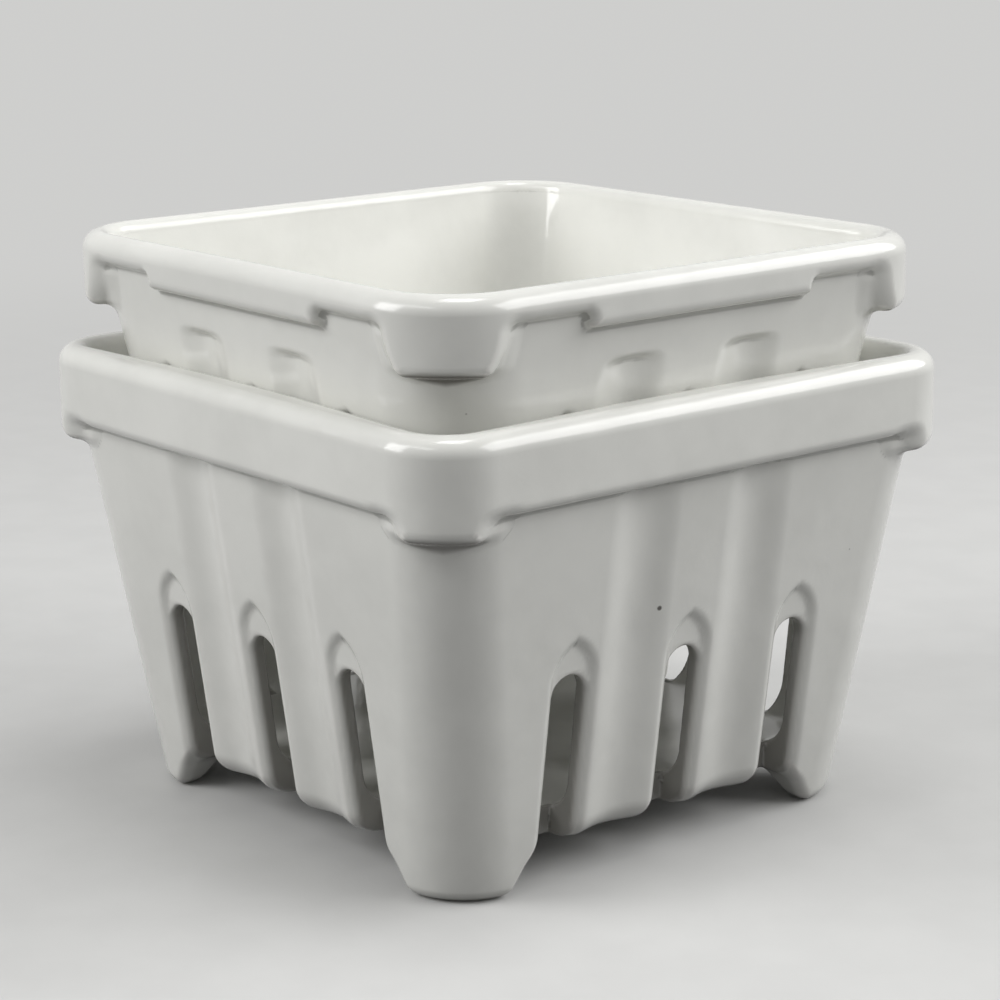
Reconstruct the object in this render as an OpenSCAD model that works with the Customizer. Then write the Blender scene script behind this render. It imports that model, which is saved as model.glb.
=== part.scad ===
// Berry colander bowls: a square pierced porcelain bowl with a smaller one seated in its rim.
// The origin is the middle of the footprint, on the surface that the feet stand on.

/* [Lower bowl] */
// width across the rim
lower_w = 130; // [115:1:145]
// height from the feet to the rim
lower_h = 90; // [80:1:105]
// width across the walls at the underside of the floor
lower_base_w = 105; // [96:1:112]
// depth of the band below the rim
lower_band = 15; // [10:0.5:18]
// depth of the corner pieces below the rim
lower_corner_drop = 19; // [12:0.5:24]
// distance of a corner piece's edge from the middle of a side
lower_corner_x = 48; // [42:0.5:52]
// how far the band stands out from the wall
lower_band_out = 3.1; // [1.5:0.1:4]
// thickness of the rim
lower_rim_t = 6.4; // [5:0.1:8]
// outer corner radius
lower_corner_r = 14; // [9:0.5:18]
// corner radius of the inside at the rim
lower_mouth_r = 6.5; // [4:0.5:10]
// height of the slots' round ends above the feet
lower_slot_top = 41.2; // [30:0.2:52]
// spacing of the slots along a side
lower_pitch = 27.8; // [24:0.2:29]

/* [Upper bowl] */
// width across the rim
upper_w = 123.6; // [117:0.4:130]
// height from the feet to the rim
upper_h = 58.4; // [50:0.2:72]
// width across the walls at the underside of the floor
upper_base_w = 103.2; // [96:0.4:106]
// depth of the band beside the corner pieces
upper_band = 5.6; // [4:0.2:7]
// depth of the band along the middle of a side
upper_band_deep = 8.6; // [7.4:0.2:11]
// distance of the band's step from the middle of a side
upper_step_x = 27.1; // [22:0.1:32]
// depth of the corner pieces below the rim
upper_corner_drop = 14.5; // [11:0.5:18]
// distance of a corner piece's edge from the middle of a side
upper_corner_x = 43.3; // [38:0.1:47]
// how far the band stands out from the wall
upper_band_out = 2.4; // [1.2:0.1:3.4]
// thickness of the rim
upper_rim_t = 5.6; // [4.6:0.1:7]
// outer corner radius
upper_corner_r = 17.5; // [12:0.5:20]
// corner radius of the inside
upper_mouth_r = 12; // [8:0.5:14]
// depth of the grooves' square upper ends below the rim
upper_groove_drop = 14.8; // [12:0.2:18]
// height of the slots' round ends above the feet
upper_slot_top = 26.5; // [20:0.5:30]
// spacing of the slots along a side
upper_pitch = 28.8; // [25:0.2:30]

/* [Walls] */
// thickness of the walls
wall = 4.2; // [3.4:0.1:5]
// thickness of the floors
floor_t = 5.5; // [4:0.1:7]
// height of the feet below the floors
foot_h = 7; // [4:0.5:9]
// thickness of the feet at the ground
foot_t = 5; // [4:0.1:7]
// how far the feet thicken inward on their way up
foot_spread = 4.3; // [0:0.1:6]
// radius of the walls' lower edge
base_r = 5; // [3:0.1:6]
// radius of the rims' outer edge
rim_r = 3.6; // [2:0.1:4]
// radius of the rims' inner edge
lip_r = 2.2; // [1:0.1:2.8]

/* [Slots and grooves] */
// slots in each side
slots = 3; // [1:2:3]
// width of a slot
slot_w = 7.8; // [5:0.2:9]
// width of the pointed hollow round a slot
hollow_w = 11.4; // [9:0.2:12]
// rise of the hollow's pointed head
hollow_rise = 8.5; // [6:0.1:11]
// height of the hollow's point above the slot's end
hollow_over = 8; // [5:0.2:10]
// depth of the hollow at the slot's edge
hollow_depth = 1.1; // [0.5:0.1:1.6]
// width of a groove between two slots
groove_w = 12; // [8:0.2:13]
// depth of a groove
groove_depth = 1.6; // [0.6:0.1:2.2]

/* [Seat of the upper bowl] */
// gap between the lower rim and the upper wall
seat_gap = 0.3; // [0.2:0.05:0.6]
// how far the lower rim bows inward at the middle of a side
bow = 2.2; // [1:0.1:3]
// half the length of the bowed run of the rim
bow_run = 46; // [40:0.5:50]

/* [Hidden] */
overrun = 1;
// thickness of a flat outline inside a hull
skin = 0.02;
// steps round a quarter of a rounded edge and round a corner
arc_steps = 4;
corner_steps = 9;
// steps up each flank of a pointed hollow
arch_steps = 8;
// facets of the grooves and the bow
groove_fn = 72;
bow_fn = 360;
// radius under the band and under the corner pieces
band_r = 1.6;
// radius inside, between the walls and the floor
inner_r = 6;
// radius of the feet's outer edge
foot_r = 2.6;
// how far the slots cut past the wall's thickness
slot_run = 0.8;
// how far the hollow's flanks run on under the slot's edges
hollow_tuck = 0.4;
// distance between the outer slots' edges and the feet, and what the feet draw back on the way down
foot_gap = 1.5;
foot_lean = 4.3;
// extra corner radius of the upper bowl's wall over its rim
upper_wall_r_more = 1;
glaze = [0.87, 0.87, 0.85];

floor_z = foot_h + floor_t;

lower_rim = lower_w / 2;
lower_base = lower_base_w / 2;
lower_wall_top = lower_rim - lower_band_out;
lower_band_z = lower_h - lower_band;
lower_mouth = lower_rim - lower_rim_t;

upper_rim = upper_w / 2;
upper_base = upper_base_w / 2;
upper_wall_top = upper_rim - upper_band_out;
upper_band_z = upper_h - upper_band;
upper_mouth = upper_rim - upper_rim_t;

bow_lip_r = 1.3 * lip_r;
bow_r = (pow(bow_run, 2) + pow(bow, 2)) / (2 * bow);

lower_slope = (lower_wall_top - lower_base) / (lower_band_z - foot_h);
upper_slope = (upper_wall_top - upper_base) / (upper_band_z - foot_h);

// half width of the lower bowl's inside where the fillet round its floor ends
inside_half = lower_base + lower_slope * (floor_t + inner_r) - wall;
inside_slope = (lower_mouth - inside_half) / (lower_h - lip_r - floor_z - inner_r);

// the outer faces of the upper bowl's feet, as stations of a loft
upper_feet = concat(
  under_edge(upper_base + upper_slope * (foot_r - foot_h), upper_corner_r, 0, foot_r),
  [[upper_base, upper_corner_r, foot_h]]
);

// the upper bowl sinks until its walls or feet meet the lip, or its feet or corner pieces meet the inside
upper_z = max(concat(
  [
    for (s = lip_edge(lower_mouth - bow, lower_mouth_r, lower_h, lip_r))
      s[2] - outside_z(s[0] - seat_gap)
  ],
  [
    for (s = upper_feet)
      let (foot_edge = half_gap(upper_pitch) + foot_lean * (1 - s[2] / foot_h))
        inside_z(s[0] + seat_gap, lower_mouth - bow_at(foot_edge)) - s[2]
  ],
  [inside_z(upper_rim + seat_gap, lower_mouth) - upper_h + upper_corner_drop]
));

// half the gap between two feet, at the underside of the floor
function half_gap(pitch) = pitch * (slots - 1) / 2 + slot_w / 2 + foot_gap;

// height at which a leaning face is half wide, when it is face wide above a rounded edge that starts at z
function edge_z(half, face, slope, z, edge_r) =
  half >= face
    ? z + edge_r + (half - face) / slope
    : z + edge_r * (1 - sqrt(1 - pow(max(1 - (face - half) / edge_r, 0), 2)));

// height above its feet at which the upper bowl's walls are half wide
function outside_z(half) = edge_z(half, upper_base + upper_slope * base_r, upper_slope, foot_h, base_r);

// height at which the lower bowl's inside is half wide, up to the rounded lip of this mouth and no higher
function inside_z(half, mouth) =
  half > mouth
    ? lower_h - bow_lip_r * (1 - sqrt(1 - pow(max(1 - (half - mouth) / bow_lip_r, 0), 2)))
    : edge_z(half, inside_half, inside_slope, floor_z, inner_r);

// how far the lower rim bows inward at y from the middle of a side
function bow_at(y) = max(bow - pow(y, 2) / (2 * bow_r), 0);

// stations of a loft, from the lowest up, each as half width, corner radius and height
function under_edge(half, r, z, edge_r) = [
  for (i = [arc_steps:-1:0])
    let (a = 90 * i / arc_steps, draw = edge_r * (1 - cos(a)))
      [half - draw, r - draw, z + edge_r * (1 - sin(a))]
];
function over_edge(half, r, z, edge_r) = [
  for (i = [0:arc_steps])
    let (a = 90 * i / arc_steps, draw = edge_r * (1 - cos(a)))
      [half - draw, r - draw, z - edge_r * (1 - sin(a))]
];
function lip_edge(half, r, z, edge_r) = [
  for (i = [0:arc_steps])
    let (a = 90 * i / arc_steps, draw = edge_r * (1 - cos(a)))
      [half + draw, r + draw, z - edge_r * (1 - sin(a))]
];

// the outline of one station: a square with rounded corners, anticlockwise from +X
function ring(s) = [
  for (turn = [0:3], i = [0:corner_steps])
    let (
      a = 90 * (turn + i / corner_steps),
      x = (s[0] - s[1]) * (turn == 0 || turn == 3 ? 1 : -1),
      y = (s[0] - s[1]) * (turn < 2 ? 1 : -1)
    )
      [x + s[1] * cos(a), y + s[1] * sin(a), s[2]]
];

module loft(stations) {
  n = 4 * (corner_steps + 1);
  top = n * (len(stations) - 1);
  polyhedron(
    points = [for (s = stations) each ring(s)],
    faces = concat(
      [[for (i = [0:n - 1]) i]],
      [[for (i = [n - 1:-1:0]) top + i]],
      [
        for (k = [0:len(stations) - 2], i = [0:n - 1])
          let (j = (i + 1) % n, low = n * k, up = n * (k + 1))
            [low + i, up + i, up + j, low + j]
      ]
    )
  );
}

// repeats its children on the four sides, made on the side that faces +X
module sides() {
  for (i = [0:3])
    rotate(90 * i)
      children();
}

// the band, as a solid block with a rounded lower edge, down to z
module band_block(rim, r, h, z) {
  loft(concat(under_edge(rim, r, z, band_r), over_edge(rim, r, h, rim_r)));
}

// a deeper stretch of the band, from z up to half way between the band's two rounded edges
module band_drop(rim, r, h, band_z, z) {
  loft(concat(under_edge(rim, r, z, band_r), [[rim, r, (band_z + band_r + h - rim_r) / 2]]));
}

// keeps what lies within x of the middle of a side
module middles(x, rim, h) {
  intersection() {
    children();
    union() {
      translate([-x, -rim - overrun, 0])
        cube([2 * x, 2 * (rim + overrun), h + overrun]);
      translate([-rim - overrun, -x, 0])
        cube([2 * (rim + overrun), 2 * x, h + overrun]);
    }
  }
}

// keeps what lies beyond x at the four corners
module corners(x, rim, h) {
  intersection() {
    children();
    sides()
      translate([x, x, -overrun])
        cube([rim - x + overrun, rim - x + overrun, h + 2 * overrun]);
  }
}

// a pointed arch of this half width and rise, on legs that go down to y = -legs
module arch(half, rise, legs) {
  r = (pow(rise, 2) + pow(half, 2)) / (2 * half);
  turn = atan2(rise, r - half);
  flank = [
    for (i = [0:arch_steps])
      let (a = turn * i / arch_steps)
        [half - r + r * cos(a), r * sin(a)]
  ];
  polygon(concat(
    [[-half, -legs], [half, -legs]],
    flank,
    [for (i = [arch_steps - 1:-1:0]) [-flank[i][0], flank[i][1]]]
  ));
}

// stands its 2D child up on the leaning outside of a wall: base at z = 0, y up the wall, +X outward
module on_wall(base, lean, y, z, out) {
  translate([base, y, 0])
    rotate([0, lean, 0])
      translate([out, 0, z])
        rotate([90, 0, 90])
          linear_extrude(skin)
            children();
}

// one slot's hollow: its flanks run from a pointed outline on the wall down to just inside the slot's edges
module hollow(base, lean, y, slot_top) {
  half = hollow_w / 2;
  spring_z = slot_top + hollow_over - hollow_rise;
  inner_half = slot_w / 2 - hollow_tuck;
  inner_z = slot_top - slot_w / 2;
  grow = overrun / hollow_depth;
  outer_half = half + grow * (half - inner_half);
  outer_rise = hollow_rise + grow * (hollow_rise - inner_half);
  outer_z = spring_z + grow * (spring_z - inner_z);
  hull() {
    on_wall(base, lean, y, outer_z, overrun)
      arch(outer_half, outer_rise, outer_z + overrun);
    on_wall(base, lean, y, inner_z, -hollow_depth)
      arch(inner_half, inner_half, inner_z + overrun);
  }
}

// one slot, open at the wall's lower edge, with a round head
module slot(base, lean, y, slot_top) {
  r = slot_w / 2;
  translate([base, y, 0])
    rotate([0, lean, 0])
      hull()
        for (z = [0, slot_top - r])
          translate([-wall - slot_run, 0, z])
            rotate([0, 90, 0])
              cylinder(r = r, h = wall + slot_run + 2 * overrun, $fn = 32);
}

// one shallow round groove, from below the wall up to top_z
module groove(base, lean, y, top_z) {
  r = (pow(groove_w / 2, 2) + pow(groove_depth, 2)) / (2 * groove_depth);
  translate([base, y, 0])
    rotate([0, lean, 0])
      translate([r - groove_depth, 0, -overrun])
        cylinder(r = r, h = top_z + overrun, $fn = groove_fn);
}

// the walls and feet as a solid block: straight leaning sides from the feet's rounded edge up to top_z
module wall_block(base, slope, r, top_z) {
  loft(concat(
    under_edge(base + slope * (foot_r - foot_h), r, 0, foot_r),
    [[base + slope * (top_z - foot_h), r, top_z]]
  ));
}

// the walls' rounded lower edge between the feet, run on past the walls' faces at its upper end
module edge_block(base, slope, r) {
  edge = under_edge(base + slope * base_r, r, foot_h, base_r);
  loft(concat(
    [for (i = [0:arc_steps - 1]) edge[i]],
    [2 * edge[arc_steps] - edge[arc_steps - 1]]
  ));
}

// what is cut away to leave four L-shaped feet: the space inside them and all that lies between them
module under_cut(base, slope, r, pitch) {
  ground = base - slope * foot_h;
  gap = half_gap(pitch);
  top_z = foot_h + base_r + overrun;
  loft([
    [ground - foot_t, r - foot_t, -overrun],
    [ground - foot_t, r - foot_t, 0],
    [ground - foot_t - foot_spread, r - foot_t, foot_h]
  ]);
  difference() {
    for (turn = [0, 90])
      rotate(turn)
        translate([-base - 2 * overrun, 0, 0])
          rotate([90, 0, 90])
            linear_extrude(2 * (base + 2 * overrun))
              polygon([
                [gap + foot_lean, -overrun],
                [gap + foot_lean, 0],
                [gap, foot_h],
                [gap, top_z],
                [-gap, top_z],
                [-gap, foot_h],
                [-gap - foot_lean, 0],
                [-gap - foot_lean, -overrun]
              ]);
    edge_block(base, slope, r);
  }
}

// the inside, from the floor up through the rounded lip
module cavity(base, slope, mouth, mouth_r, floor_r, h) {
  loft(concat(
    under_edge(base + slope * (floor_t + inner_r) - wall, floor_r, floor_z, inner_r),
    lip_edge(mouth, mouth_r, h, lip_r),
    [[mouth + lip_r, mouth_r + lip_r, h + overrun]]
  ));
}

// round discs that leave the rim bowed inward along each side, with the lip's own rounding
module bow_discs(mouth, h, depth) {
  sides()
    translate([mouth - bow + bow_r, 0, 0])
      rotate_extrude($fn = bow_fn)
        polygon(concat(
          [[0, h - depth], [bow_r, h - depth]],
          [for (s = over_edge(bow_r, bow_lip_r, h, bow_lip_r)) [s[0], s[2]]],
          [[bow_r - bow_lip_r, h + 2 * overrun], [0, h + 2 * overrun]]
        ));
}

module lower_bowl() {
  lean = atan(lower_slope);
  ground = lower_base - lower_slope * foot_h;
  color(glaze)
    difference() {
      union() {
        difference() {
          wall_block(lower_base, lower_slope, lower_corner_r, lower_band_z + band_r);
          sides()
            for (i = [1:slots - 1])
              groove(ground, lean, (i - slots / 2) * lower_pitch, lower_h);
        }
        band_block(lower_rim, lower_corner_r, lower_h, lower_band_z);
        corners(lower_corner_x, lower_rim, lower_h)
          band_drop(lower_rim, lower_corner_r, lower_h, lower_band_z, lower_h - lower_corner_drop);
      }
      under_cut(lower_base, lower_slope, lower_corner_r, lower_pitch);
      difference() {
        cavity(lower_base, lower_slope, lower_mouth, lower_mouth_r, 1.5 * lower_mouth_r, lower_h);
        bow_discs(lower_mouth, lower_h, lip_r + overrun + bow / inside_slope);
      }
      sides()
        for (i = [1:slots])
          hollow(ground, lean, (i - (slots + 1) / 2) * lower_pitch, lower_slot_top);
      sides()
        for (i = [1:slots])
          slot(ground, lean, (i - (slots + 1) / 2) * lower_pitch, lower_slot_top);
    }
}

module upper_bowl() {
  lean = atan(upper_slope);
  ground = upper_base - upper_slope * foot_h;
  wall_r = upper_corner_r + upper_wall_r_more;
  color(glaze)
    translate([0, 0, upper_z])
      difference() {
        union() {
          difference() {
            wall_block(upper_base, upper_slope, wall_r, upper_band_z + band_r);
            sides()
              for (i = [1:slots - 1])
                groove(ground, lean, (i - slots / 2) * upper_pitch, upper_h - upper_groove_drop);
          }
          band_block(upper_rim, upper_corner_r, upper_h, upper_band_z);
          middles(upper_step_x, upper_rim, upper_h)
            band_drop(upper_rim, upper_corner_r, upper_h, upper_band_z, upper_h - upper_band_deep);
          corners(upper_corner_x, upper_rim, upper_h)
            band_drop(upper_rim, upper_corner_r, upper_h, upper_band_z, upper_h - upper_corner_drop);
        }
        under_cut(upper_base, upper_slope, wall_r, upper_pitch);
        cavity(upper_base, upper_slope, upper_mouth, upper_mouth_r, upper_mouth_r, upper_h);
        sides()
          for (i = [1:slots])
            hollow(ground, lean, (i - (slots + 1) / 2) * upper_pitch, upper_slot_top);
        sides()
          for (i = [1:slots])
            slot(ground, lean, (i - (slots + 1) / 2) * upper_pitch, upper_slot_top);
      }
}

lower_bowl();
upper_bowl();
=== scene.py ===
"""Two nested square porcelain colander bowls, modelled on berry baskets, as glazed ware on a plain stage.

Each bowl is shaped as one solid of clay: every part of it is a distance, negative inside the clay,
and the parts are joined and cut with rounded edges, as glaze leaves them. A skin of small faces is
then laid on the surface where that distance is zero. Lengths are in metres in the panel, and in
millimetres where the clay is shaped.
"""

import math
from types import SimpleNamespace

import bpy
import numpy as np
from bpy.props import FloatProperty, FloatVectorProperty, PointerProperty
from mathutils import Matrix, Vector


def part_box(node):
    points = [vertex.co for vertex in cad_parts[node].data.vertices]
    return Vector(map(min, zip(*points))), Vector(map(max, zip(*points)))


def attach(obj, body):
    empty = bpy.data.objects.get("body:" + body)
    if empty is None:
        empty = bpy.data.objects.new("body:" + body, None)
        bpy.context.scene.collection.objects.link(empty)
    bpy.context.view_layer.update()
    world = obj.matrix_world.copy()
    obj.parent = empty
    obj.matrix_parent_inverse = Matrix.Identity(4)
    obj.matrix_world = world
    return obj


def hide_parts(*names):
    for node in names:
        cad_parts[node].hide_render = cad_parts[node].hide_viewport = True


bl_info = {
    "name": "Berry colander bowls",
    "version": (1, 0, 0),
    "blender": (4, 5, 0),
    "location": "View3D > Sidebar > Bowls",
    "description": "Builds two nested glazed porcelain colander bowls and the stage they stand on",
    "category": "Object",
}

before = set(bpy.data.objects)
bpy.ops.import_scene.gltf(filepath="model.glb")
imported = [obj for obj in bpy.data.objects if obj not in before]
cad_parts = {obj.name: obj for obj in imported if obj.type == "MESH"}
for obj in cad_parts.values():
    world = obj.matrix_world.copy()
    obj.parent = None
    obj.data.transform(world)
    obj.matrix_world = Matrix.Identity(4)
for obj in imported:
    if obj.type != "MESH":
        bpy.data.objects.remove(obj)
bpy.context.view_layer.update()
LOWER_LOW, LOWER_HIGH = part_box("lower_bowl")
UPPER_LOW, UPPER_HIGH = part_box("upper_bowl")

MM = 0.001


def length(name, description, default, low=0.0, high=1.0):
    """A length property in metres."""
    return FloatProperty(
        name=name,
        description=description,
        default=default,
        min=low,
        max=high,
        precision=5,
        unit="LENGTH",
    )


def colour(name, description, default):
    """A linear colour property."""
    return FloatVectorProperty(
        name=name,
        description=description,
        default=default,
        min=0.0,
        max=1.0,
        size=3,
        subtype="COLOR",
    )


def power(name, description, default):
    """A lamp's power property, in watts."""
    return FloatProperty(name=name, description=description, default=default, min=0.0, unit="POWER")


class LowerBowlSizes(bpy.types.PropertyGroup):
    """Sizes of the lower, deeper bowl."""

    width: length("Width", "Across the rim", LOWER_HIGH.x - LOWER_LOW.x)
    height: length("Height", "From the feet to the rim", LOWER_HIGH.z - LOWER_LOW.z)
    lift: length("Lift", "Height of the feet above the table", LOWER_LOW.z)
    base_width: length("Base width", "Across the walls at the underside of the floor", 105 * MM)
    band: length("Band", "Depth of the band below the rim", 15 * MM)
    band_deep: length("Deep band", "Depth of the band along the middle of a side", 15 * MM)
    band_out: length("Band stand-out", "How far the band stands out from the wall", 3.1 * MM)
    step_x: length("Band step", "Where the band steps down along a side, or 0 for nowhere", 0.0)
    corner_drop: length("Corner drop", "Depth of the corner pieces below the rim", 19 * MM)
    corner_x: length("Corner piece", "Where a corner piece starts, from the middle of a side", 48 * MM)
    rim_thickness: length("Rim thickness", "Thickness of the rim", 6.4 * MM)
    corner_taper: length("Corner taper", "How far a corner piece narrows on its way down", 1.0 * MM)
    corner_run: length("Corner run", "Run in which a corner piece's side comes out of the wall", 8.0 * MM)
    corner_edge: length("Corner edge", "Radius under the corner pieces", 3.0 * MM)
    corner_radius: length("Corner radius", "Outer corner radius of the rim", 14 * MM)
    wall_radius: length("Wall radius", "Outer corner radius of the wall", 14 * MM)
    mouth_radius: length("Mouth radius", "Corner radius of the inside at the rim", 6.5 * MM)
    floor_radius: length("Floor radius", "Corner radius of the inside at the floor", 9.75 * MM)
    slot_top: length("Slot top", "Height of the slots' round ends above the feet", 41.2 * MM)
    hollow_over: length("Hollow over", "Height of the hollow's point above the slot's end", 8 * MM)
    pitch: length("Slot spacing", "Spacing of the slots along a side", 27.8 * MM)
    groove_top: length("Groove top", "Height of the grooves' upper ends above the feet", 90 * MM)
    bow: length("Bow", "How far the rim bows inward along a side, or 0 for a straight rim", 2.2 * MM)


class UpperBowlSizes(bpy.types.PropertyGroup):
    """Sizes of the upper, shallower bowl."""

    width: length("Width", "Across the rim", UPPER_HIGH.x - UPPER_LOW.x)
    height: length("Height", "From the feet to the rim", UPPER_HIGH.z - UPPER_LOW.z)
    lift: length("Lift", "Height of the feet above the table", UPPER_LOW.z)
    base_width: length("Base width", "Across the walls at the underside of the floor", 103.2 * MM)
    band: length("Band", "Depth of the band beside the corner pieces", 5.6 * MM)
    band_deep: length("Deep band", "Depth of the band along the middle of a side", 8.6 * MM)
    band_out: length("Band stand-out", "How far the band stands out from the wall", 2.4 * MM)
    step_x: length("Band step", "Where the band steps down along a side, or 0 for nowhere", 27.1 * MM)
    corner_drop: length("Corner drop", "Depth of the corner pieces below the rim", 14.5 * MM)
    corner_x: length("Corner piece", "Where a corner piece starts, from the middle of a side", 42.8 * MM)
    rim_thickness: length("Rim thickness", "Thickness of the rim", 5.6 * MM)
    corner_taper: length("Corner taper", "How far a corner piece narrows on its way down", 2.4 * MM)
    corner_run: length("Corner run", "Run in which a corner piece's side comes out of the wall", 3.4 * MM)
    corner_edge: length("Corner edge", "Radius under the corner pieces", 2.6 * MM)
    corner_radius: length("Corner radius", "Outer corner radius of the rim", 17.5 * MM)
    wall_radius: length("Wall radius", "Outer corner radius of the wall", 18.5 * MM)
    mouth_radius: length("Mouth radius", "Corner radius of the inside at the rim", 12 * MM)
    floor_radius: length("Floor radius", "Corner radius of the inside at the floor", 12 * MM)
    slot_top: length("Slot top", "Height of the slots' round ends above the feet", 26.5 * MM)
    hollow_over: length("Hollow over", "Height of the hollow's point above the slot's end", 9.2 * MM)
    pitch: length("Slot spacing", "Spacing of the slots along a side", 28.8 * MM)
    groove_top: length("Groove top", "Height of the grooves' upper ends above the feet", 43.6 * MM)
    bow: length("Bow", "How far the rim bows inward along a side, or 0 for a straight rim", 0.0)


class ClaySizes(bpy.types.PropertyGroup):
    """Sizes that both bowls share."""

    wall: length("Wall", "Thickness of the walls", 4.2 * MM)
    floor: length("Floor", "Thickness of the floors", 5.5 * MM)
    foot_height: length("Foot height", "Height of the feet below the floors", 7 * MM)
    foot_thickness: length("Foot thickness", "Thickness of the feet at the ground", 5 * MM)
    foot_spread: length("Foot spread", "How far the feet thicken inward on their way up", 4.3 * MM)
    foot_gap: length("Foot gap", "Distance between the outer slots' edges and the feet", 1.5 * MM)
    foot_lean: length("Foot lean", "How far the feet's ends draw back on the way down", 4.3 * MM)
    rim_radius: length("Rim radius", "Radius of the rims' outer edge", 3.6 * MM)
    lip_radius: length("Lip radius", "Radius of the rims' inner edge", 2.2 * MM)
    base_radius: length("Base radius", "Radius of the walls' lower edge", 5 * MM)
    foot_radius: length("Foot radius", "Radius of the feet's outer edge", 2.6 * MM)
    inner_radius: length("Inner radius", "Radius inside, between the walls and the floor", 6 * MM)
    band_radius: length("Band radius", "Radius under the bands", 2.3 * MM)
    bow_run: length("Bow run", "Half the length of the bowed run of a rim", 46 * MM)
    slot_width: length("Slot width", "Width of a slot", 7.8 * MM)
    slot_depth: length("Slot depth", "How deep the slots are cut from the wall's face", 7.5 * MM)
    slot_edge: length("Slot edge", "Radius of the slots' glazed edges", 0.9 * MM)
    hollow_width: length("Hollow width", "Width of the pointed hollow round a slot", 11.4 * MM)
    hollow_rise: length("Hollow rise", "Rise of the hollow's pointed head", 8.5 * MM)
    hollow_depth: length("Hollow depth", "Depth of the hollow", 1.1 * MM)
    hollow_flank: length("Hollow flank", "Width of the hollow's sloping flank", 1.7 * MM)
    # The shade depth sets how strong the painted shade is in the slots and under the corner pieces.
    shade_depth: length("Shade depth", "Depth in a narrow gap at which the glaze looks darkest", 3.6 * MM)
    groove_width: length("Groove width", "Width of a groove between two slots", 12 * MM)
    groove_depth: length("Groove depth", "Depth of a groove", 1.6 * MM)
    ripple: length("Ripple", "How far the hand-finished surfaces wander inward", 0.16 * MM)
    face_size: length("Face size", "Size of the skin's small faces", 0.65 * MM, 0.3 * MM, 4 * MM)


class GlazeLook(bpy.types.PropertyGroup):
    """Colours of the ware, painted shade among them."""

    glaze: colour("Glaze", "Colour of the clear glaze over white porcelain", (0.83, 0.83, 0.79))
    # Painted shade in creases, partly the real colour of glaze lying thick; the mottling also leans toward
    # it.
    pooled_and_crease_shade: colour("Pooled glaze", "Colour where the glaze lies thick in creases", (0.49, 0.49, 0.46))
    thin: colour("Thin glaze", "Colour where the glaze runs thin over edges", (0.87, 0.86, 0.82))
    bare: colour("Bare clay", "Colour of the unglazed rings under the feet", (0.72, 0.69, 0.62))
    speck: colour("Speck", "Colour of the small specks in the glaze", (0.10, 0.09, 0.08))
    # Painted shade: a dark colour laid deep in the slots and under the corner pieces.
    painted_shade: colour(
        "Sheltered glaze", "Colour deep in the slots and under the corner pieces", (0.24, 0.23, 0.21)
    )
    pinhole: FloatVectorProperty(
        name="Pinhole",
        description="Place of a pinhole in the lower bowl's glaze",
        default=(58.0 * MM, -8.2 * MM, 50.4 * MM),
        size=3,
        subtype="TRANSLATION",
        unit="LENGTH",
    )
    roughness: FloatProperty(
        name="Roughness",
        description="Roughness of the glaze",
        default=0.16,
        min=0.0,
        max=1.0,
        subtype="FACTOR",
    )


class StageLook(bpy.types.PropertyGroup):
    """Floor, lamps and camera."""

    floor_colour: colour("Floor", "Colour of the plain floor", (0.62, 0.62, 0.61))
    backdrop_colour: colour("Backdrop", "Colour of the room beyond the lit floor", (0.62, 0.62, 0.61))
    bounce_colour: colour("Bounce", "Colour in which the floor throws light back", (0.16, 0.16, 0.16))
    key_power: power("Right softbox", "Power of the softbox on the right", 11.2)
    fill_power: power("Left softbox", "Power of the softbox on the left", 6.5)
    high_power: power("Overhead softbox", "Power of the softbox overhead", 2.2)
    glint_power: power("Front lamp", "Power of the small lamp in front", 0.36)
    room_light: FloatProperty(
        name="Room light",
        description="Strength of the room's even light",
        default=0.27,
        min=0.0,
        max=1.0,
    )
    lens: FloatProperty(
        name="Lens",
        description="Focal length of the camera",
        default=96.963 * MM,
        min=0.01,
        unit="CAMERA",
    )
    distance: length("Distance", "Distance of the camera from the bowls", 537.093 * MM, 0.1, 5.0)


# Roundings of the clay that both bowls share, in millimetres.

GROOVE_END = 1.6
GROOVE_SIDE = 1.4
HOLLOW_SIDE = 0.4
HOLLOW_BOTTOM = 0.35
FOOT_END = 2.2
FOOT_INSIDE = 1.6
FOOT_CREASE = 1.6
STEP_EDGE = 1.4
STEP_CREASE = 1.4
CORNER_SIDE = 1.6
CORNER_CREASE = 1.2
BOW_END = 1.2

# The crease between the wall and the band, and how much wider it is beside the corner pieces.
BAND_CREASE = 1.0
WIDER_CREASE = 1.0

# Where that wider crease sets in below the band, where a corner piece's own roundings set in before
# and past its edge, and where a foot's rounding sets in before and past its end, in millimetres.
BELOW_BAND = (0.5, 2.5)
AT_CORNER_PIECE = (-3, 1)
AT_FOOT = (-3, 2)

# The distance from its edge at which a corner piece's side stands out twice as far as a straight one.
STAND_OUT_RUN = 5

# How far a corner piece's taper and a foot's slants run on past their ends, as shares of their heights.
TAPER_PAST = 0.2
SLANT_PAST = 0.5

FREE_CELLS = 2
SETTLING_ROUNDS = 3
LEAST_GROWTH = 0.25

# Painted shade in the slots: the distances beside a slot at which it ends and is full, the most it grows
# to as a share of the shade depth, and the depth at which the far side starts, as a share of the slot's.
SLOT_SHADE_FADE = (1.5, 0.6)
SLOT_SHADE_MOST = 0.64
FAR_SIDE = 1.3

# Painted shade under a corner piece, in millimetres: where it sets in past the piece's edge, the run in
# which it grows from thin to full, its reach above and below the piece's lower end, thin and added, and
# how far below that end it is at its darkest.
LENS_FADE = (-1, 5)
LENS_RUN = 10
LENS_ABOVE = (0.6, 2.2)
LENS_BELOW = (0.8, 3.2)
LENS_CORE = 0.2


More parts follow.
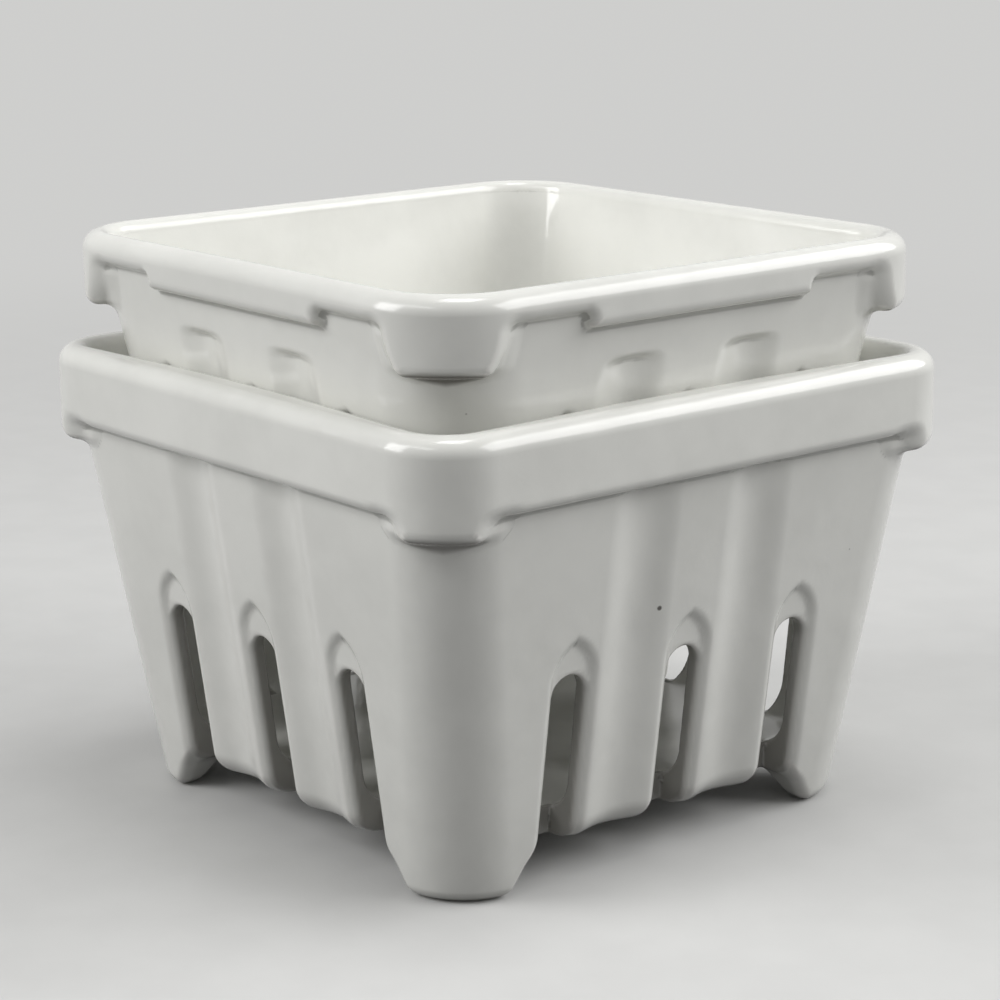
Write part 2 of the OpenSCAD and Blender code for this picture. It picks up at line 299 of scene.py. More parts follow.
def in_millimetres(*groups):
    """The float properties of these groups as plain numbers in millimetres, in one namespace."""
    sizes = SimpleNamespace()
    for group in groups:
        for name in group.bl_rna.properties.keys():
            value = getattr(group, name)
            if isinstance(value, float):
                setattr(sizes, name, value / MM)
    return sizes


# Distances. Each is negative inside the clay, or inside what is cut from it, and in millimetres.


def rounded_square(x, y, half, radius):
    """A square column about the middle, half wide, with rounded corners."""
    beyond_x = x - half + radius
    beyond_y = y - half + radius
    corner = np.hypot(np.maximum(beyond_x, 0), np.maximum(beyond_y, 0))
    return corner + np.minimum(np.maximum(beyond_x, beyond_y), 0) - radius


def overlap(a, b, radius):
    """What lies in both, with the edge between them rounded."""
    corner = np.hypot(np.maximum(a + radius, 0), np.maximum(b + radius, 0))
    return np.minimum(np.maximum(a, b), -radius) + corner


def join(a, b, radius):
    """What lies in either, with the crease between them filled to a radius."""
    crease = np.hypot(np.maximum(radius - a, 0), np.maximum(radius - b, 0))
    return np.maximum(np.minimum(a, b), radius) - crease


def eased(a, b, width):
    """What lies in both, with the flat-angled edge between them eased over this width."""
    near = np.maximum(width - np.abs(a - b), 0) / width
    return np.maximum(a, b) + near * near * width / 4


def smooth_step(low, high, value):
    """Goes smoothly from 0 at low to 1 at high."""
    share = np.clip((value - low) / (high - low), 0, 1)
    return share * share * (3 - 2 * share)


def wall_half(bowl, z):
    """Half the width across the walls' faces at this height."""
    return bowl.ground + bowl.slope * z


def beside_slot(bowl, along):
    """How far a place along a side is from the middle of the nearest slot."""
    return np.minimum(along, np.abs(along - bowl.pitch))


def at_corner_piece(bowl, along):
    """1 at the corner pieces and 0 along the rest of a side, with a smooth change between them."""
    before, past = AT_CORNER_PIECE
    return smooth_step(bowl.corner_x + before, bowl.corner_x + past, along)


def slots(bowl, along, up, out):
    """The slots of a side: round heads, open at the wall's lower edge, cut square to the wall."""
    radius = bowl.slot_width / 2
    over = np.maximum(up - (bowl.slot_top - radius), 0)
    return np.maximum(np.hypot(beside_slot(bowl, along), over) - radius, -bowl.slot_depth - out)


def hollows(bowl, along, up, out):
    """The shallow pointed hollows round the slots, with sloping flanks and a flat bottom."""
    half = bowl.hollow_width / 2
    rise = bowl.hollow_rise
    radius = (rise**2 + half**2) / (2 * half)
    spring = bowl.slot_top + bowl.hollow_over - rise
    over = np.maximum(up - spring, 0)
    outline = np.hypot(beside_slot(bowl, along) + radius - half, over) - radius
    flank = (outline * bowl.hollow_depth - out * bowl.hollow_flank) / math.hypot(
        bowl.hollow_depth, bowl.hollow_flank
    )
    return eased(flank, -bowl.hollow_depth - out, HOLLOW_BOTTOM)


def grooves(bowl, along, up, out):
    """The wide shallow grooves between the slots."""
    half = bowl.groove_width / 2
    depth = bowl.groove_depth
    radius = (half**2 + depth**2) / (2 * depth)
    beside = along - bowl.pitch / 2
    round_bottom = np.hypot(beside, out - radius + depth) - radius
    return overlap(round_bottom, up - bowl.groove_top, GROOVE_END)


def underside(bowl, x, y, along, z):
    """All above the floor's underside, and the four L-shaped feet with their slanted ends."""
    share = np.clip(z / bowl.foot_height, -SLANT_PAST, 1 + SLANT_PAST)
    foot_end = bowl.pitch + bowl.slot_width / 2 + bowl.foot_gap + bowl.foot_lean * (1 - share)
    inner = bowl.ground - bowl.foot_thickness - bowl.foot_spread * share
    within = rounded_square(x, y, inner, bowl.wall_radius - bowl.foot_thickness)
    ends = overlap(-z, foot_end - along, FOOT_END)
    feet = overlap(ends, -within, FOOT_INSIDE)
    return join(bowl.foot_height - z, feet, FOOT_CREASE)


def corner_stand_out(bowl, along, z):
    """How far the side of a corner piece stands out from the wall, below zero away from the corner."""
    below = np.clip((bowl.height - bowl.band - z) / (bowl.corner_drop - bowl.band), 0, 1 + TAPER_PAST)
    past = along - bowl.corner_x - bowl.corner_taper * below**2
    return bowl.band_out / bowl.corner_run * (past + np.maximum(past, 0) ** 2 / STAND_OUT_RUN)


def band(bowl, x, y, along, z, wall):
    """The band round the rim, with its steps and its deeper corner pieces, which come out of the wall."""
    steepest = 2 * bowl.band_out / bowl.corner_run
    side = (wall - corner_stand_out(bowl, along, z)) / math.hypot(1, steepest)
    corner = overlap(bowl.height - bowl.corner_drop - z, side, CORNER_SIDE)
    lower_edge = join(bowl.height - bowl.band - z, corner, CORNER_CREASE)
    if bowl.step_x:
        middle = overlap(bowl.height - bowl.band_deep - z, along - bowl.step_x, STEP_EDGE)
        lower_edge = join(lower_edge, middle, STEP_CREASE)
    radius = bowl.band_radius + (bowl.corner_edge - bowl.band_radius) * at_corner_piece(bowl, along)
    face = rounded_square(x, y, bowl.width / 2, bowl.corner_radius)
    face = overlap(face, lower_edge, radius)
    return overlap(face, z - bowl.height, bowl.rim_radius)


def inside(bowl, x, y, along, across, z):
    """The hollow of the bowl, narrower where the rim bows inward."""
    floor_top = bowl.foot_height + bowl.floor
    start = floor_top + bowl.inner_radius
    start_half = bowl.base_width / 2 + bowl.slope * (start - bowl.foot_height) - bowl.wall
    end = bowl.height - bowl.lip_radius
    end_half = bowl.width / 2 - bowl.rim_thickness
    lean = (end_half - start_half) / (end - start)
    share = np.clip((z - start) / (end - start), 0, 1)
    radius = bowl.floor_radius + (bowl.mouth_radius - bowl.floor_radius) * share
    half = start_half + lean * np.minimum(z - start, end - start)
    space = rounded_square(x, y, half, radius) / math.hypot(1, lean)
    space = overlap(space, floor_top - z, bowl.inner_radius)
    if bowl.bow:
        bow_radius = (bowl.bow_run**2 + bowl.bow**2) / (2 * bowl.bow)
        bowed = across - (end_half - bowl.bow + along**2 / (2 * bow_radius))
        space = eased(space, bowed, BOW_END)
    return space


def ripple(bowl, x, y, z):
    """The slight wandering of hand-finished clay, always inward: three slow waves of unlike lengths."""
    lengthwise = np.sin(x / 17 + 1.3 * np.sin(z / 23))
    crosswise = np.sin(y / 19 + 2.1 + 1.1 * np.sin(z / 29))
    slanting = np.sin((x + y) / 11 + z / 13) * 0.5
    return bowl.ripple * (0.5 + (lengthwise + crosswise + slanting) / 5)


def clay(bowl, x, y, z):
    """The whole bowl as one distance."""
    z = z - bowl.lift
    x, y = np.abs(x), np.abs(y)
    across, along = np.maximum(x, y), np.minimum(x, y)
    tilt = math.atan(bowl.slope)
    out = (across - bowl.ground) * math.cos(tilt) - z * math.sin(tilt)
    up = (across - bowl.ground) * math.sin(tilt) + z * math.cos(tilt)

    plain = rounded_square(x, y, wall_half(bowl, z), bowl.wall_radius) * math.cos(tilt)
    wall = eased(plain, -grooves(bowl, along, up, out), GROOVE_SIDE)
    wall = eased(wall, -hollows(bowl, along, up, out), HOLLOW_SIDE)
    at_foot = smooth_step(*AT_FOOT, along - bowl.pitch - bowl.slot_width / 2 - bowl.foot_gap)
    edge = bowl.base_radius + (bowl.foot_radius - bowl.base_radius) * at_foot
    wall = overlap(wall, underside(bowl, x, y, along, z), edge)
    wall = np.maximum(wall, z - bowl.height + bowl.band / 2)

    below_band = smooth_step(*BELOW_BAND, bowl.height - bowl.band - z)
    crease = BAND_CREASE + WIDER_CREASE * at_corner_piece(bowl, along) * below_band
    body = join(wall, band(bowl, x, y, along, z, plain), crease)
    body = overlap(body, -inside(bowl, x, y, along, across, z), bowl.lip_radius)
    return overlap(body, -slots(bowl, along, up, out), bowl.slot_edge)


# The skin: small faces laid on the surface where a distance is zero.


def grid_axis(low, high, step):
    """An odd number of evenly spaced grid places that run past both ends."""
    beside = int(math.ceil((high - low) / 2 / step)) + FREE_CELLS
    return (low + high) / 2 + step * np.arange(-beside, beside + 1)


def crossed_cells(values):
    """Index of each grid cell that the surface passes through, or -1, the cells' places, and the clay."""
    solid = values < 0
    shape = tuple(n - 1 for n in values.shape)
    corners = [(i, j, k) for i in (0, 1) for j in (0, 1) for k in (0, 1)]
    count = np.zeros(shape, np.int8)
    for i, j, k in corners:
        count += solid[i : i + shape[0], j : j + shape[1], k : k + shape[2]]
    crossed = (count > 0) & (count < len(corners))
    index = np.full(shape, -1, np.int32)
    index[crossed] = np.arange(np.count_nonzero(crossed), dtype=np.int32)
    return index, np.argwhere(crossed), solid


def cell_points(values, cells):
    """The middle of the places where the surface crosses each cell's edges, in grid steps."""
    total = np.zeros((len(cells), 3))
    hits = np.zeros(len(cells))
    for axis in range(3):
        side = [a for a in range(3) if a != axis]
        for i in (0, 1):
            for j in (0, 1):
                start = cells.copy()
                start[:, side[0]] += i
                start[:, side[1]] += j
                end = start.copy()
                end[:, axis] += 1
                a = values[tuple(start.T)].astype(float)
                b = values[tuple(end.T)].astype(float)
                crosses = (a < 0) != (b < 0)
                share = np.where(crosses, a / np.where(crosses, a - b, 1), 0)
                point = start.astype(float)
                point[:, axis] += share
                total += np.where(crosses[:, None], point, 0)
                hits += crosses
    return total / hits[:, None]


def cell_faces(index, solid):
    """One face of four corners for each grid edge that the surface crosses."""
    faces = []
    for axis in range(3):
        side = [(axis + 1) % 3, (axis + 2) % 3]
        before = [slice(None)] * 3
        after = [slice(None)] * 3
        before[axis] = slice(0, -1)
        after[axis] = slice(1, None)
        leaves = solid[tuple(before)] & ~solid[tuple(after)]
        enters = ~solid[tuple(before)] & solid[tuple(after)]
        for found, order in ((leaves, (0, 1, 2, 3)), (enters, (3, 2, 1, 0))):
            edges = np.argwhere(found)
            corners = []
            for i, j in ((-1, -1), (0, -1), (0, 0), (-1, 0)):
                cell = edges.copy()
                cell[:, side[0]] += i
                cell[:, side[1]] += j
                corners.append(index[tuple(cell.T)])
            faces.append(np.stack([corners[n] for n in order], axis=1))
    return np.concatenate(faces)


def slope_of(distance, points, reach=0.04):
    """The direction in which a distance grows fastest at each point."""
    grown = np.empty_like(points)
    for axis in range(3):
        shift = np.zeros(3)
        shift[axis] = reach
        ahead = distance(*(points + shift).T)
        behind = distance(*(points - shift).T)
        grown[:, axis] = (ahead - behind) / (2 * reach)
    return grown


def lay_skin(distance, low, high, step):
    """Points, faces and outward directions of the surface where the distance is zero.

    The distance is the same on all four sides, so on the grid it is only worked out for one quarter.
    """
    axes = [grid_axis(a, b, step) for a, b in zip(low, high)]
    x, y, z = (a.astype(np.float32) for a in axes)
    middle = len(x) // 2
    quarter = distance(x[middle:, None, None], y[None, middle:, None], z[None, None, :])
    fold = np.abs(np.arange(len(x)) - middle)
    values = quarter.astype(np.float32)[fold][:, fold]
    index, cells, solid = crossed_cells(values)
    start = np.array([a[0] for a in axes])
    points = start + step * cell_points(values, cells)
    faces = cell_faces(index, solid)
    for _ in range(SETTLING_ROUNDS):
        grown = slope_of(distance, points)
        share = distance(*points.T) / np.maximum((grown**2).sum(axis=1), LEAST_GROWTH)
        points -= np.clip(share, -step / 2, step / 2)[:, None] * grown
    directions = slope_of(distance, points)
    directions /= np.linalg.norm(directions, axis=1)[:, None]
    return points, faces, directions


def bend_of(distance, points, reach=0.3):
    """How sharply the surface bends, per millimetre: below zero in creases, above zero on edges."""
    total = -6 * distance(*points.T)
    for axis in range(3):
        shift = np.zeros(3)
        shift[axis] = reach
        total += distance(*(points + shift).T) + distance(*(points - shift).T)
    return total / reach**2


def slot_shade(bowl, along, across, z):
    """How much painted shade each point gets: how deep it lies between the sides of a slot."""
    depth = wall_half(bowl, z) - across
    beside = beside_slot(bowl, along) - bowl.slot_width / 2
    near = smooth_step(*SLOT_SHADE_FADE, np.maximum(beside, z - bowl.slot_top))
    most = SLOT_SHADE_MOST * bowl.shade_depth
    return np.clip(depth, 0, most) * near * (depth < FAR_SIDE * bowl.slot_depth)


def corner_shade(bowl, x, y, along, z):
    """A painted shade in the shape of a lens under each corner piece."""
    past = along - bowl.corner_x - bowl.corner_taper
    share = smooth_step(0, LENS_RUN, past)
    drop = bowl.height - bowl.corner_drop - z
    above = smooth_step(-LENS_ABOVE[0] - LENS_ABOVE[1] * share, 0, drop)
    below = smooth_step(LENS_BELOW[0] + LENS_BELOW[1] * share, LENS_CORE, drop)
    outside = rounded_square(x, y, wall_half(bowl, z), bowl.wall_radius) > -bowl.wall / 2
    return bowl.shade_depth * smooth_step(*LENS_FADE, past) * (above * below) * outside


def painted_shade_of(bowl, points):
    """How far each point is shut in by a slot's sides or a corner piece's underside, in millimetres: the
    amount of painted shade there.
    """
    x, y, z = np.abs(points[:, 0]), np.abs(points[:, 1]), points[:, 2] - bowl.lift
    across, along = np.maximum(x, y), np.minimum(x, y)
    return np.maximum(slot_shade(bowl, along, across, z), corner_shade(bowl, x, y, along, z))


def skin_mesh(name, points, faces, directions):
    """A smooth mesh of faces with four corners, from points in millimetres."""
    mesh = bpy.data.meshes.new(name)
    mesh.vertices.add(len(points))
    mesh.vertices.foreach_set("co", (points * MM).astype(np.float32).ravel())
    mesh.loops.add(faces.size)
    mesh.loops.foreach_set("vertex_index", faces.astype(np.int32).ravel())
    mesh.polygons.add(len(faces))
    mesh.polygons.foreach_set("loop_start", np.arange(0, faces.size, faces.shape[1], dtype=np.int32))
    mesh.polygons.foreach_set("use_smooth", np.ones(len(faces), bool))
    mesh.update(calc_edges=True)
    mesh.validate()
    mesh.normals_split_custom_set_from_vertices(directions.astype(np.float32))
    return mesh


def add_layer(mesh, name, values):
    """Keeps one number for each point with the mesh, for its material to read."""
    layer = mesh.attributes.new(name, "FLOAT", "POINT")
    layer.data.foreach_set("value", values.astype(np.float32))


def build_bowl(context, name, node, body, sizes, material):
    """Lays the skin of one bowl and gives it to its CAD body."""
    bowl = in_millimetres(sizes, context.scene.bowl_clay)
    rise = bowl.height - bowl.band - bowl.foot_height
    bowl.slope = (bowl.width / 2 - bowl.band_out - bowl.base_width / 2) / rise
    bowl.ground = bowl.base_width / 2 - bowl.slope * bowl.foot_height

    def distance(x, y, z):
        return clay(bowl, x, y, z)

    half = bowl.width / 2
    low = (-half, -half, bowl.lift)
    high = (half, half, bowl.lift + bowl.height)
    step = bowl.face_size * 1.0
    points, faces, directions = lay_skin(distance, low, high, step)
    if len(points) == 0:
        raise RuntimeError(name + " has no surface: its sizes leave no clay")

    bend = bend_of(distance, points)
    points -= ripple(bowl, *points.T)[:, None] * directions

    mesh = skin_mesh(name, points, faces, directions)
    # The first layer sets the painted shade in the slots and under the corner pieces; the second, bend, sets
    # the pooled glaze with its painted crease shade, and the thin glaze.
    add_layer(mesh, "shelter", painted_shade_of(bowl, points))
    add_layer(mesh, "bend", bend)
    mesh.materials.append(material)

    bowl_object = bpy.data.objects.new(name, mesh)
    context.scene.collection.objects.link(bowl_object)
    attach(bowl_object, body)
    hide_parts(node)


# Materials.

# The bends, per millimetre, at which pooled glaze with its painted crease shade and thin glaze start and
# are full, and the same, in millimetres, for how far a point is shut in, which sets the painted shade in
# the slots and under the corner pieces.
POOLED_AND_SHADE_BEND = (-0.35, -1.0)
THIN_BEND = (0.35, 0.9)
PAINTED_SHADE_RANGE = (0.7, 3.2)

# The mottling's contrast and strength.
MOTTLE_SPREAD = (0.35, 0.7)
MOTTLE_STRENGTH = 0.16

# The specks' outer and inner edge, in parts of their texture's cells, and their strength. The pinhole's
# outer and inner edge, in metres.
SPECK_EDGE = (0.012, 0.004)
SPECK_STRENGTH = 0.45
PINHOLE_EDGE = (0.00062, 0.00028)

# The heights above the ground at which the glaze starts and at which all is bare, and how far down that
# edge wanders, in metres. The roughness of bare clay.
GLAZED_ABOVE = 0.0004
BARE_BELOW = 0.0001
BARE_WANDER = -0.0006
BARE_ROUGHNESS = 0.75

# The spread of the gloss over the glaze, and its least and most, as shares of the glaze's roughness.
GLOSS_SPREAD = (0.3, 0.75)
GLOSS_LEAST = 0.75
GLOSS_MOST = 1.35

# How much the fine grain adds to the orange peel of the glaze.
GRAIN_SHARE = 0.06

# The floor's fibres: their contrast, and their colour as a share of the floor's. The distances from the
# middle, in metres, at which the lit floor starts to fade into the backdrop and has done so.
FIBRE_SPREAD = (0.3, 0.7)
FIBRE_SHADE = 0.97
FLOOR_FADE = (0.16, 0.75)


class Nodes:
    """Short calls for wiring a material's nodes."""

    def __init__(self, tree):
        self.tree = tree
        self.tree.nodes.clear()

    def add(self, kind, **settings):
        """A new node with these settings."""
        node = self.tree.nodes.new(kind)
        for name, value in settings.items():
            setattr(node, name, value)
        return node

    def link(self, source, target):
        """Wires one socket to another."""
        self.tree.links.new(source, target)

    def fill(self, node, **values):
        """Sets or links inputs by name, with spaces written as underscores."""
        for name, value in values.items():
            target = node.inputs[name.replace("_", " ")]
            if isinstance(value, bpy.types.NodeSocket):
                self.link(value, target)
            else:
                target.default_value = value
        return node

    def blend(self, share, first, second):
        """Mixes two colours, given as sockets or colour triples."""
        node = self.add("ShaderNodeMix", data_type="RGBA")
        self.link(share, node.inputs[0])
        for socket, value in ((node.inputs[6], first), (node.inputs[7], second)):
            if isinstance(value, bpy.types.NodeSocket):
                self.link(value, socket)
            else:
                socket.default_value = (*value, 1)
        return node.outputs[2]

    def spread(self, value, low, high, to_low=0.0, to_high=1.0):
        """Maps a value from one range to another, smoothly and clamped."""
        node = self.add("ShaderNodeMapRange", interpolation_type="SMOOTHSTEP")
        self.fill(node, Value=value)
        for name, number in (("From Min", low), ("From Max", high), ("To Min", to_low), ("To Max", to_high)):
            node.inputs[name].default_value = number
        return node.outputs[0]

    def noise(self, place, scale, detail, **values):
        """The value of a cloudy noise, with its scale per metre."""
        node = self.add("ShaderNodeTexNoise")
        self.fill(node, Vector=place, Scale=scale, Detail=detail, **values)
        return node.outputs["Fac"]

    def layer(self, name):
        """The numbers that are kept with the mesh under this name."""
        return self.add("ShaderNodeAttribute", attribute_name=name).outputs["Fac"]


def glaze_colour(nodes, place, look):
    """The glaze's colour: mottled, darker in creases with pooled glaze and painted shade, with painted shade
    deep in the slots and under the corner pieces, and lighter on edges.
    """
    mottle = nodes.noise(place, 38.0, 4.0, Roughness=0.6)
    mottling = nodes.spread(mottle, *MOTTLE_SPREAD, 0.0, MOTTLE_STRENGTH)
    bend = nodes.layer("bend")
    base = nodes.blend(mottling, tuple(look.glaze), tuple(look.pooled_and_crease_shade))
    # Creases darker: partly glaze that pools there, partly painted shade where shade falls.
    base = nodes.blend(nodes.spread(bend, *POOLED_AND_SHADE_BEND), base, tuple(look.pooled_and_crease_shade))
    base = nodes.blend(nodes.spread(bend, *THIN_BEND), base, tuple(look.thin))
    # Painted shade deep in the slots and under the corner pieces.
    return nodes.blend(nodes.spread(nodes.layer("shelter"), *PAINTED_SHADE_RANGE), base, tuple(look.painted_shade))


def speckled(nodes, place, base, look):
    """The same colour with small specks and one pinhole."""
    specks = nodes.fill(nodes.add("ShaderNodeTexVoronoi"), Vector=place, Scale=46.0, Randomness=1.0)
    speck = nodes.spread(specks.outputs["Distance"], *SPECK_EDGE, 0.0, SPECK_STRENGTH)
    base = nodes.blend(speck, base, tuple(look.speck))
    pinhole = nodes.add("ShaderNodeVectorMath", operation="DISTANCE")
    nodes.link(place, pinhole.inputs[0])
    pinhole.inputs[1].default_value = tuple(look.pinhole)
    return nodes.blend(nodes.spread(pinhole.outputs["Value"], *PINHOLE_EDGE), base, tuple(look.speck))


def bare_ring(nodes, place, lift):
    """1 on the unglazed undersides of the feet, with a wandering edge."""
    height = nodes.add("ShaderNodeSeparateXYZ")
    nodes.fill(height, Vector=place)
    edge = nodes.add("ShaderNodeMath", operation="MULTIPLY_ADD")
    nodes.link(nodes.noise(place, 150.0, 2.0), edge.inputs[0])
    edge.inputs[1].default_value = BARE_WANDER
    nodes.link(height.outputs["Z"], edge.inputs[2])
    return nodes.spread(edge.outputs[0], lift + GLAZED_ABOVE, lift + BARE_BELOW)


def gloss(nodes, place, bare, look):
    """The roughness: a little uneven over the glaze, and matt where the clay is bare."""
    least, most = look.roughness * GLOSS_LEAST, look.roughness * GLOSS_MOST
    matt = nodes.add("ShaderNodeMix", data_type="FLOAT")
    nodes.link(bare, matt.inputs[0])
    nodes.link(nodes.spread(nodes.noise(place, 90.0, 3.0), *GLOSS_SPREAD, least, most), matt.inputs[2])
    matt.inputs[3].default_value = BARE_ROUGHNESS
    return matt.outputs[0]


def orange_peel(nodes, place):
    """The glaze's faint unevenness, with a finer grain in it."""
    surface = nodes.add("ShaderNodeMath", operation="MULTIPLY_ADD")
    nodes.link(nodes.noise(place, 900.0, 2.0), surface.inputs[0])
    surface.inputs[1].default_value = GRAIN_SHARE
    nodes.link(nodes.noise(place, 120.0, 1.0), surface.inputs[2])
    bump = nodes.add("ShaderNodeBump")
    nodes.fill(bump, Strength=0.16, Distance=0.0012, Height=surface.outputs[0])
    return bump.outputs[0]


def glaze_material(name, look, lift):
    """Clear glaze over white porcelain, which leaves the rings that the feet stand on bare."""
    material = bpy.data.materials.new(name)
    material.use_nodes = True
    nodes = Nodes(material.node_tree)
    place = nodes.add("ShaderNodeTexCoord").outputs["Object"]
    bare = bare_ring(nodes, place, lift)
    base = speckled(nodes, place, glaze_colour(nodes, place, look), look)
    base = nodes.blend(bare, base, tuple(look.bare))
    shader = nodes.add("ShaderNodeBsdfPrincipled")
    nodes.fill(shader, Base_Color=base, Roughness=gloss(nodes, place, bare, look))
    nodes.fill(shader, Normal=orange_peel(nodes, place))
    nodes.fill(shader, IOR=1.52, Coat_Weight=0.2, Coat_Roughness=0.04, Coat_IOR=1.5)
    output = nodes.add("ShaderNodeOutputMaterial")
    nodes.link(shader.outputs[0], output.inputs["Surface"])
    return material


def seen_directly(nodes):
    """1 for camera, reflection and transmission rays, and 0 for the rays that light the ware."""
    path = nodes.add("ShaderNodeLightPath")
    seen = nodes.add("ShaderNodeMath", operation="MAXIMUM")
    nodes.link(path.outputs["Is Camera Ray"], seen.inputs[0])
    nodes.link(path.outputs["Is Glossy Ray"], seen.inputs[1])
    shown = nodes.add("ShaderNodeMath", operation="MAXIMUM")
    nodes.link(seen.outputs[0], shown.inputs[0])
    nodes.link(path.outputs["Is Transmission Ray"], shown.inputs[1])
    return shown.outputs[0]


def mixed_shader(nodes, share, first, second):
    """Two shaders, mixed by a share."""
    mix = nodes.add("ShaderNodeMixShader")
    for socket, source in zip(mix.inputs, (share, first.outputs[0], second.outputs[0])):
        nodes.link(source, socket)
    return mix


def floor_material(look):
    """A plain pale matt floor that fades into the backdrop and throws little light back on the ware."""
    material = bpy.data.materials.new("pale_floor")
    material.use_nodes = True
    nodes = Nodes(material.node_tree)
    place = nodes.add("ShaderNodeTexCoord").outputs["Object"]
    fibre = nodes.spread(nodes.noise(place, 60.0, 3.0), *FIBRE_SPREAD)
    base = nodes.blend(fibre, tuple(look.floor_colour), tuple(FIBRE_SHADE * c for c in look.floor_colour))
    lit = nodes.fill(nodes.add("ShaderNodeBsdfPrincipled"), Base_Color=base, Roughness=0.85)

    far = nodes.add("ShaderNodeVectorMath", operation="LENGTH")
    nodes.link(place, far.inputs[0])
    pale = nodes.add("ShaderNodeEmission")
    nodes.fill(pale, Color=(*look.backdrop_colour, 1), Strength=1.0)
    shown = mixed_shader(nodes, nodes.spread(far.outputs["Value"], *FLOOR_FADE), lit, pale)

    bounce = nodes.fill(nodes.add("ShaderNodeBsdfDiffuse"), Color=(*look.bounce_colour, 1))
    mix = mixed_shader(nodes, seen_directly(nodes), bounce, shown)
    output = nodes.add("ShaderNodeOutputMaterial")
    nodes.link(mix.outputs[0], output.inputs["Surface"])
    return material


def room_world(look):
    """Pale surroundings for the camera and for reflections, and an even, weaker light on the ware."""
    world = bpy.data.worlds.new("pale_room")
    world.use_nodes = True
    nodes = Nodes(world.node_tree)
    light = nodes.fill(nodes.add("ShaderNodeBackground"), Color=(1, 1, 1, 1), Strength=look.room_light)
    view = nodes.fill(nodes.add("ShaderNodeBackground"), Color=(*look.backdrop_colour, 1), Strength=1.0)
    mix = mixed_shader(nodes, seen_directly(nodes), light, view)
    output = nodes.add("ShaderNodeOutputWorld")
    nodes.link(mix.outputs[0], output.inputs["Surface"])
    return world


# The stage.

# Each lamp's name, place and size in metres, and the setting that holds its power. All face one point.
LAMPS = (
    ("right_softbox", (0.59, 0.77, 0.71), (1.30, 0.70), "key_power"),
    ("left_softbox", (-0.52, -0.88, 0.55), (0.60, 0.60), "fill_power"),
    ("high_softbox", (0.06, 0.04, 1.00), (0.35, 0.35), "high_power"),
    ("front_lamp", (0.02, -0.42, 0.47), (0.42, 0.10), "glint_power"),
)
LAMPS_FACE = (0, 0, 60 * MM)

FLOOR_HALF = 3.0

# The camera as fitted to the photograph: its angles in degrees, the height of the point that it is
# turned about, its shifts to its own right and up from there, and its sensor, in millimetres.
CAMERA_AZIMUTH = 50.722
CAMERA_ELEVATION = 13.805
CAMERA_ROLL = -0.487
CAMERA_PIVOT = 50
CAMERA_RIGHT = 1.534
CAMERA_UP = 8.325
SENSOR_WIDTH = 36


def add_softbox(context, name, place, size, lamp_power):
    """A rectangular lamp that faces the bowls."""
    lamp = bpy.data.lights.new(name, "AREA")
    lamp.shape = "RECTANGLE"
    lamp.size, lamp.size_y = size
    lamp.energy = lamp_power
    lamp_object = bpy.data.objects.new(name, lamp)
    context.scene.collection.objects.link(lamp_object)
    aim = Vector(LAMPS_FACE) - Vector(place)
    lamp_object.location = place
    lamp_object.rotation_euler = aim.to_track_quat("-Z", "Y").to_euler()


def add_floor(context, look):
    """A large plain floor that the lower bowl stands on."""
    half = FLOOR_HALF
    mesh = bpy.data.meshes.new("floor")
    corners = [(-half, -half, 0), (half, -half, 0), (half, half, 0), (-half, half, 0)]
    mesh.from_pydata(corners, [], [(0, 1, 2, 3)])
    mesh.materials.append(floor_material(look))
    floor = bpy.data.objects.new("floor", mesh)
    context.scene.collection.objects.link(floor)


def add_camera(context, look):
    """The camera, at the photograph's angle: its right, up and backward directions, then its place."""
    azimuth = math.radians(CAMERA_AZIMUTH)
    elevation = math.radians(CAMERA_ELEVATION)
    roll = math.radians(CAMERA_ROLL)
    back = Vector(
        (
            math.sin(azimuth) * math.cos(elevation),
            -math.cos(azimuth) * math.cos(elevation),
            math.sin(elevation),
        )
    )
    level = Vector((math.cos(azimuth), math.sin(azimuth), 0))
    plumb = back.cross(level)
    right = math.cos(roll) * level + math.sin(roll) * plumb
    up = math.cos(roll) * plumb - math.sin(roll) * level
    pivot = Vector((0, 0, CAMERA_PIVOT * MM))
    place = pivot + look.distance * back + CAMERA_RIGHT * MM * right + CAMERA_UP * MM * up
    camera = bpy.data.cameras.new("photo_camera")
    camera.lens = look.lens / MM
    camera.sensor_width = SENSOR_WIDTH
    camera_object = bpy.data.objects.new("photo_camera", camera)
    context.scene.collection.objects.link(camera_object)
    turned = Matrix((right, up, back)).transposed().to_4x4()
    camera_object.matrix_world = Matrix.Translation(place) @ turned
    context.scene.camera = camera_object


class BOWLS_OT_lower(bpy.types.Operator):
    """Builds the lower, deeper bowl"""

    bl_idname = "bowls.lower"
    bl_label = "Lower bowl"

    def execute(self, context):
        sizes = context.scene.bowl_lower
        material = glaze_material("clear_glaze_lower", context.scene.bowl_glaze, sizes.lift)
        build_bowl(context, "lower_bowl_ware", "lower_bowl", "lower", sizes, material)
        return {"FINISHED"}


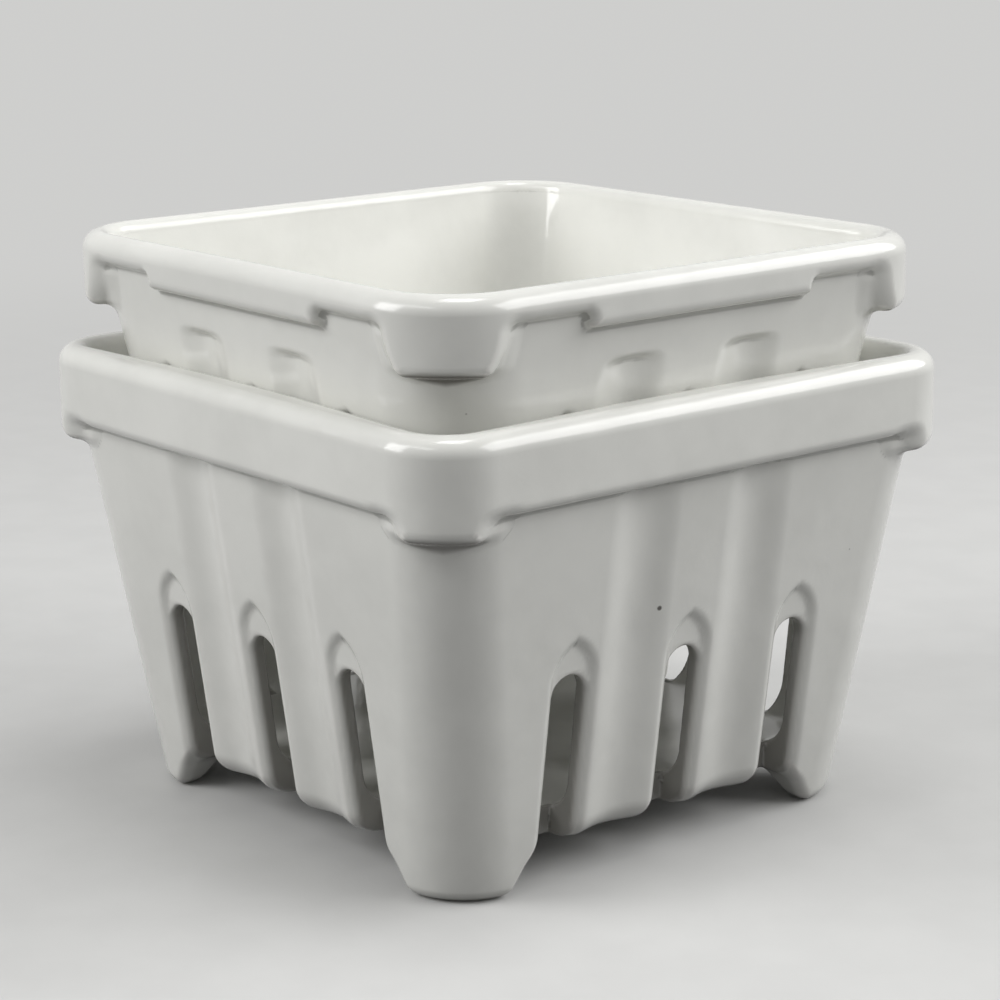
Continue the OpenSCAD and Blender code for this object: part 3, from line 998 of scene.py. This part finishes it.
class BOWLS_OT_upper(bpy.types.Operator):
    """Builds the upper, shallower bowl that sits in the lower one's rim"""

    bl_idname = "bowls.upper"
    bl_label = "Upper bowl"

    def execute(self, context):
        sizes = context.scene.bowl_upper
        material = glaze_material("clear_glaze_upper", context.scene.bowl_glaze, sizes.lift)
        build_bowl(context, "upper_bowl_ware", "upper_bowl", "upper", sizes, material)
        return {"FINISHED"}


class BOWLS_OT_stage(bpy.types.Operator):
    """Sets up the floor, the room, the lamps and the camera"""

    bl_idname = "bowls.stage"
    bl_label = "Stage"

    def execute(self, context):
        look = context.scene.bowl_stage
        add_floor(context, look)
        context.scene.world = room_world(look)
        for name, place, size, setting in LAMPS:
            add_softbox(context, name, place, size, getattr(look, setting))
        add_camera(context, look)
        context.scene.view_settings.view_transform = "Standard"
        return {"FINISHED"}


class BOWLS_PT_panel(bpy.types.Panel):
    """Lists the pieces of the ware, the stage and their settings"""

    bl_idname = "BOWLS_PT_panel"
    bl_label = "Berry colander bowls"
    bl_space_type = "VIEW_3D"
    bl_region_type = "UI"
    bl_category = "Bowls"

    def draw(self, context):
        layout = self.layout
        for operator in OPERATORS:
            layout.operator(operator.bl_idname)
        for title, group in GROUPS.items():
            settings = getattr(context.scene, title)
            box = layout.box()
            box.label(text=group.__doc__)
            for name in group.__annotations__:
                box.prop(settings, name)


GROUPS = {
    "bowl_lower": LowerBowlSizes,
    "bowl_upper": UpperBowlSizes,
    "bowl_clay": ClaySizes,
    "bowl_glaze": GlazeLook,
    "bowl_stage": StageLook,
}
OPERATORS = (BOWLS_OT_lower, BOWLS_OT_upper, BOWLS_OT_stage)
CLASSES = (*GROUPS.values(), *OPERATORS, BOWLS_PT_panel)


def register():
    for cls in CLASSES:
        bpy.utils.register_class(cls)
    for title, group in GROUPS.items():
        setattr(bpy.types.Scene, title, PointerProperty(type=group))


def unregister():
    for title in GROUPS:
        delattr(bpy.types.Scene, title)
    for cls in reversed(CLASSES):
        bpy.utils.unregister_class(cls)


def main():
    register()
    bpy.ops.bowls.lower()
    bpy.ops.bowls.upper()
    bpy.ops.bowls.stage()


if __name__ == "__main__":
    main()
